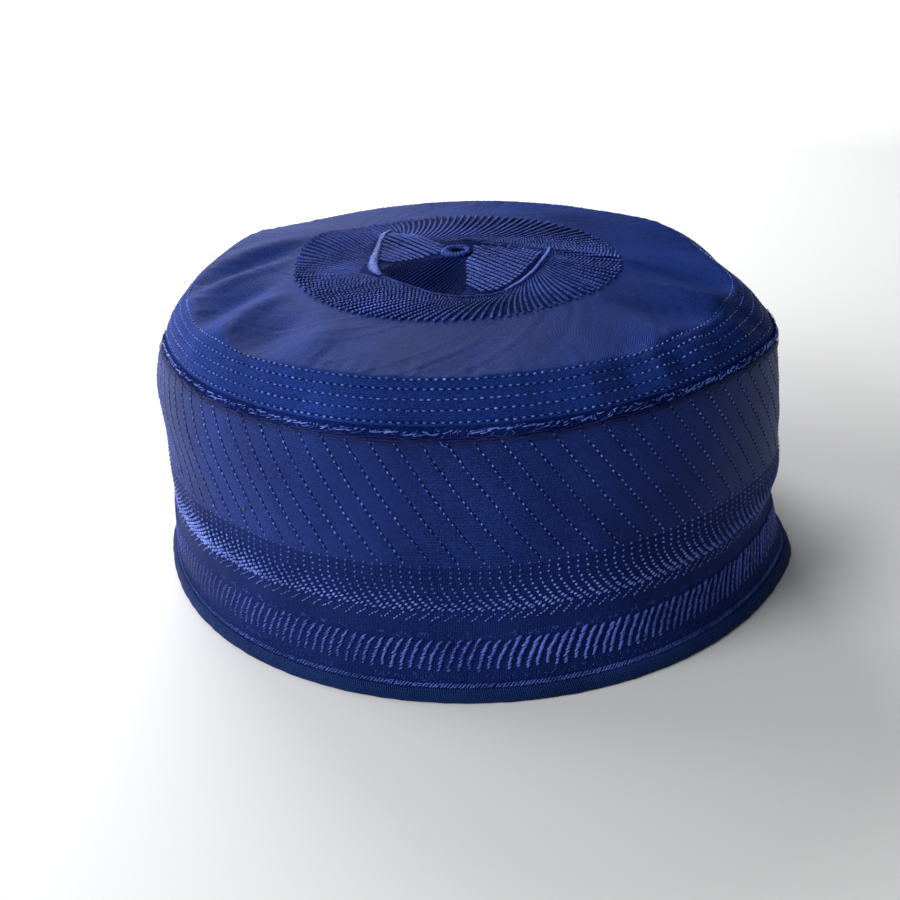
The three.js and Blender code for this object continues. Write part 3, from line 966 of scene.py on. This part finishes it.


# The ground's darkest thread shows in the gaps between the rows as painted shade
def medallion_disc():
    rows = 22
    disc_stations = 360
    angle = even_angles(disc_stations)
    way = np.linspace(0, 1, rows)[:, None]
    start = eyelet_radius * 0.8
    radius = start + (edge_radius(angle)[None] - 0.5 - start) * way
    out = 0.2 * np.clip((1 - way) / 0.03, 0, 1) - 0.05
    points = on_crown(radius * np.cos(angle), radius * np.sin(angle), out)
    return points, grid_quads(rows, disc_stations)[..., ::-1]


make_piece("medallion_ground", *medallion_disc(), deep_thread_and_shade, "embroidery_thread", "crown_medallion")


def plan_paths(starts, ends, bow):
    way = np.linspace(0, 1, 10)[None, :, None]
    line = starts[:, None] * (1 - way) + ends[:, None] * way
    ahead = unit(ends - starts)
    side = np.stack([-ahead[:, 1], ahead[:, 0]], -1)
    length = np.linalg.norm(ends - starts, axis=-1)[:, None, None]
    return line + side[:, None] * bow * length * np.sin(np.pi * way)


row_slant = math.radians(25)


# Rows of short slanted stitches that leave dark gaps between them: how many rows, how long a stitch is,
# how far out it lies, and in fill the share of a row's room that its stitches take
def stitched_rows(table, count, pitch, out, bow=0.0, widest=1.6, fill=0.64, rise=0.52):
    rows = between_rows(table, count)
    ends = rows[:, 2:]
    if rows.shape[1] == 3:
        end_angle = np.radians(rows[:, 2])
        radius = edge_radius(end_angle) + np.where(np.arange(count) % 2, 0.25, -0.2)
        ends = np.stack([radius * np.cos(end_angle), radius * np.sin(end_angle)], -1)
    flat = plan_paths(rows[:, :2], ends, bow)
    ahead = unit(np.gradient(flat, axis=1))
    side = np.stack([-ahead[..., 1], ahead[..., 0]], -1)
    gaps = np.abs(np.sum(np.diff(flat, axis=0) * side[:-1], -1))
    room = np.concatenate([gaps[:1], (gaps[1:] + gaps[:-1]) / 2, gaps[-1:]])
    middles, directions, widths = [], [], []
    for line, way, space in zip(flat, ahead, room):
        reach = lengths_along(np.linalg.norm(np.diff(line, axis=0), axis=1))
        stitches = max(1, int(reach[-1] / pitch))
        at = (np.arange(stitches) + chance.uniform(0.35, 0.65)) / stitches * reach[-1]
        middles.append(read_off(at, reach, line))
        directions.append(read_off(at, reach, way))
        widths.append(np.interp(at, reach, space))
    middle = np.concatenate(middles)
    direction = unit(np.concatenate(directions))
    width = np.clip(np.concatenate(widths) * fill, 0.35, widest) * chance.uniform(0.85, 1.15, len(middle))
    tilt = row_slant + chance.normal(0, 0.1, len(middle))
    along_x = direction[:, 0] * np.cos(tilt) - direction[:, 1] * np.sin(tilt)
    along_y = direction[:, 0] * np.sin(tilt) + direction[:, 1] * np.cos(tilt)
    step = np.linspace(-0.56, 0.56, 4)[None] * pitch
    x = middle[:, :1] + along_x[:, None] * step
    y = middle[:, 1:] + along_y[:, None] * step
    size = width[:, None] * row_taper
    lift = out + 0.14 * width[:, None] * row_taper
    return crown_threads(x, y, lift, size, rise * size)


ring_rows = stitched_rows(ring_strands, 130, 1.05, 0.16, bow=-0.04, widest=1.2, fill=0.56, rise=0.44)
make_piece("medallion_ring_rows", *ring_rows, figure_thread, "embroidery_thread")
# The inner rows take the lighter thread, whose extra lightness is partly painted sheen
inner_figure = join(
    stitched_rows(upper_left_strands, 11, 1.2, 0.5, widest=1.9, fill=0.56),
    stitched_rows(right_strands, 17, 1.2, 0.5, fill=0.56),
)
make_piece("medallion_inner_rows", *inner_figure, inner_thread_and_sheen, "embroidery_thread")
# The lower left rows take the darkest thread, partly painted shade of that sector
fine_rows = stitched_rows(lower_left_strands, 27, 1.0, 0.25, widest=0.9)
make_piece("medallion_fine_rows", *fine_rows, deep_thread_and_shade, "embroidery_thread")


# Satin-stitched bars at the ends of the inner figure. Rows are x, y and width.
def satin_bar(table, out, spacing):
    table = np.array(table, float)
    reach = lengths_along(np.hypot(*(np.diff(table[:, :2], axis=0).T)))
    count = int(reach[-1] / spacing)
    at = np.linspace(0, reach[-1], count)
    middle = read_off(at, reach, table[:, :2])
    ahead = unit(np.gradient(middle, axis=0))
    side = np.stack([-ahead[:, 1], ahead[:, 0]], -1)
    width = np.interp(at, reach, table[:, 2]) * chance.uniform(0.85, 1.15, count)
    way = np.linspace(-0.5, 0.5, 6)[None]
    slanted = side + ahead * 0.35
    x = middle[:, :1] + slanted[:, :1] * way * width[:, None]
    y = middle[:, 1:] + slanted[:, 1:] * way * width[:, None]
    lift = out + 0.2 * width[:, None] * np.sqrt(np.maximum(0, 1 - (2 * way) ** 2))
    thread_size = spacing * 0.72
    return crown_threads(x, y, lift, thread_size, thread_size)


left_bar = satin_bar([
    (-20.5, 30.5, 0.7), (-22.4, 24, 1.4), (-23.2, 16, 1.8), (-23.9, 6, 2.2), (-24.3, -2, 3.0),
    (-24.1, -7, 3.4), (-23, -11.5, 2.6), (-21.6, -14.4, 1.0)], 0.5, 0.62)
right_bar = satin_bar([
    (26.6, 0.4, 0.8), (25.6, -4, 0.9), (23.4, -10, 0.85), (20.8, -17, 0.8), (17, -24.4, 0.7),
    (12.6, -30.4, 0.5)], 0.7, 0.6)
upper_bar = satin_bar([
    (-3.6, 8.6, 0.5), (2.5, 7.6, 0.6), (7, 5.2, 0.6), (12, 3, 0.6), (18, 1.6, 0.7), (26, 0.4, 0.8)], 0.6, 0.6)
lower_bar = satin_bar([
    (12.6, -30.4, 0.6), (8, -33, 0.6), (0, -33.4, 0.5), (-6.4, -30.6, 0.5), (-14.6, -22.6, 0.5),
    (-21.2, -15.4, 0.6)], 0.3, 0.6)
make_piece("medallion_bars", *join(left_bar, right_bar), satin_thread, "embroidery_thread")
make_piece("medallion_fine_lines", *join(upper_bar, lower_bar), figure_thread, "embroidery_thread")


# Eyelet: a ring of thread wound round the hole, fuller at the left
def eyelet_ring():
    around = 252
    section = 14
    angle = even_angles(around)
    part = even_angles(section)[:, None]
    wraps = 24
    groove = 0.3 + 0.08 * wander(angle, (5, 9, 14), 61)[None]
    groove = groove * np.abs(np.sin(wraps / 2 * angle[None] + part * 0.5))
    fuller = 1 + 0.9 * np.exp(-((angle_between(angle, 185) / 0.8) ** 2))[None]
    half = (thread_ring_radius - thread_hole_radius) / 2 * fuller
    radius = thread_hole_radius + half + (half + groove) * np.cos(part)
    out = cloth_gap + eyelet_height * 0.4 + (eyelet_height * 0.42 * fuller + groove) * np.sin(part)
    points = on_crown(radius * np.cos(angle), radius * np.sin(angle), out)
    return points, grid_quads(section, around, True)


make_piece("eyelet_thread_ring", *eyelet_ring(), figure_thread, "embroidery_thread", "crown_eyelet")


# Loose ends and small marks
def stray_threads():
    parts = []
    # Place in degrees, height, mm out from the wall, and steps across and up in mm
    strays = [
        (-4, 0.985, 1.0, [(0, 0), (1.6, 1.2), (3.4, 0.6), (5.2, -1.4), (6.2, -3.6)]),
        (-7, 0.99, 1.1, [(0, 0), (1.2, -1.6), (2.8, -2.0), (4.4, -0.9)]),
        (-96, 0.97, 0.9, [(0, 0), (0.9, -0.9), (1.9, -1.1)]),
        (130, 0.975, 0.9, [(0, 0), (1.2, -1.2), (2.6, -0.7)]),
        (206, 0.55, 0.25, [(0, 0), (-0.5, 1.0), (-1.3, 1.9), (-1.5, 3.2)]),
    ]
    for at, start_height, out, steps in strays:
        steps = np.array(steps, float)
        way = np.linspace(0, len(steps) - 1, 12)
        across, up = (np.interp(way, np.arange(len(steps)), steps[:, axis]) for axis in range(2))
        angle = math.radians(at) + turn_of(across, upper_side_radius)
        height = start_height + share(up)
        path = wall_point(np.minimum(height, 1.0), angle, out + 0.25 * np.sin(way))
        parts.append(tubes(path[None], outward(angle)[None], 0.3, 0.3))
    return join(*parts)


make_piece("stray_thread_ends", *stray_threads(), satin_thread, "seam_thread")


def lint_speck():
    angle = math.radians(-132) + turn_of(np.linspace(-0.5, 0.5, 5)[None] * 1.6)
    height = share(40.5) + share(np.linspace(-0.8, 0.8, 5))[None]
    swell = np.array([0.3, 0.9, 1, 0.8, 0.3])
    return wall_threads(height, angle, 0.1, 1.1 * swell, 0.3 * swell)


make_piece("lint_speck", *lint_speck(), speck_green, "satin_cloth")

# Floor, camera and light
floor_mesh = bpy.data.meshes.new("floor")
floor_reach = 6.0
corners = [(x * floor_reach, y * floor_reach, 0) for x, y in ((-1, -1), (1, -1), (1, 1), (-1, 1))]
floor_mesh.from_pydata(corners, [], [(0, 1, 2, 3)])
floor = add_object("floor", floor_mesh)
floor_material, floor_tree, floor_shader, floor_place = material_tree("pale_floor")
floor_shader.inputs["Base Color"].default_value = (0.8, 0.8, 0.8, 1)
floor_shader.inputs["Roughness"].default_value = 0.9
# The lights don't reach the far floor, so it glows softly there and stays as pale as it is near the cap
floor_distance = add_node(floor_tree, "ShaderNodeVectorMath", {0: floor_place}, operation="LENGTH")
glow_from, glow_full, glow_strength = 0.55, 1.2, 0.85
far_glow = add_node(floor_tree, "ShaderNodeMapRange", {
    "Value": floor_distance.outputs["Value"], "From Min": glow_from, "From Max": glow_full,
    "To Min": 0.0, "To Max": glow_strength})
floor_tree.links.new(far_glow.outputs["Result"], floor_shader.inputs["Emission Strength"])
floor_shader.inputs["Emission Color"].default_value = (1, 1, 1, 1)
floor_mesh.materials.append(floor_material)
floor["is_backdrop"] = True

camera_distance = 404.8
elevation, yaw, pitch, roll = np.radians([28.262, -1.179, 3.068, -2.754])
camera_place = np.array([0, -math.cos(elevation), math.sin(elevation)]) * camera_distance
ahead = -unit(camera_place)
right = np.array([1.0, 0, 0])
above = np.cross(right, ahead)
ahead = (ahead * math.cos(yaw) + right * math.sin(yaw)) * math.cos(pitch) + above * math.sin(pitch)
right = unit(np.cross(ahead, [0, 0, 1.0]))
above = np.cross(right, ahead)
leaning_right = right * math.cos(roll) + above * math.sin(roll)
leaning_up = -right * math.sin(roll) + above * math.cos(roll)
camera_data = bpy.data.cameras.new("camera")
camera_data.sensor_width = 36
camera_data.lens = 51.204
camera_data.clip_start = 0.01
camera = add_object("camera", camera_data)
place = (camera_place + middle_shift) * METRE
axes = np.stack([leaning_right, leaning_up, -ahead, place], -1)
camera.matrix_world = Matrix([*axes.tolist(), [0, 0, 0, 1]])
scene.camera = camera


def soft_light(name, position, target, size, power):
    data = bpy.data.lights.new(name, "AREA")
    data.shape = "DISK"
    data.size = size
    data.energy = power
    light = add_object(name, data)
    light.location = position
    light.rotation_euler = (Vector(target) - Vector(position)).to_track_quat("-Z", "Y").to_euler()


soft_light("window_left", (-0.42, 0.16, 0.22), (-0.02, 0, 0.07), 0.3, 1.2)
soft_light("back_left", (-0.3, 0.85, 0.55), (0, 0, 0.08), 0.7, 11.0)
soft_light("front_left", (-1.0, -0.6, 0.65), (0, 0, 0.05), 0.8, 14.0)

world = bpy.data.worlds.new("soft_room")
world.use_nodes = True
sky_tree = world.node_tree
background = sky_tree.nodes["Background"].inputs
background["Color"].default_value = (0.97, 0.985, 1.0, 1)
sky_place = add_node(sky_tree, "ShaderNodeTexCoord").outputs["Generated"]
sky_parts = add_node(sky_tree, "ShaderNodeSeparateXYZ", {"Vector": sky_place}).outputs
# The room is brighter at the left
sky_tree.links.new(plus(sky_tree, times(sky_tree, sky_parts["X"], -0.17), 0.25), background["Strength"])
scene.world = world
scene.view_settings.view_transform = "Standard"

low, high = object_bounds()
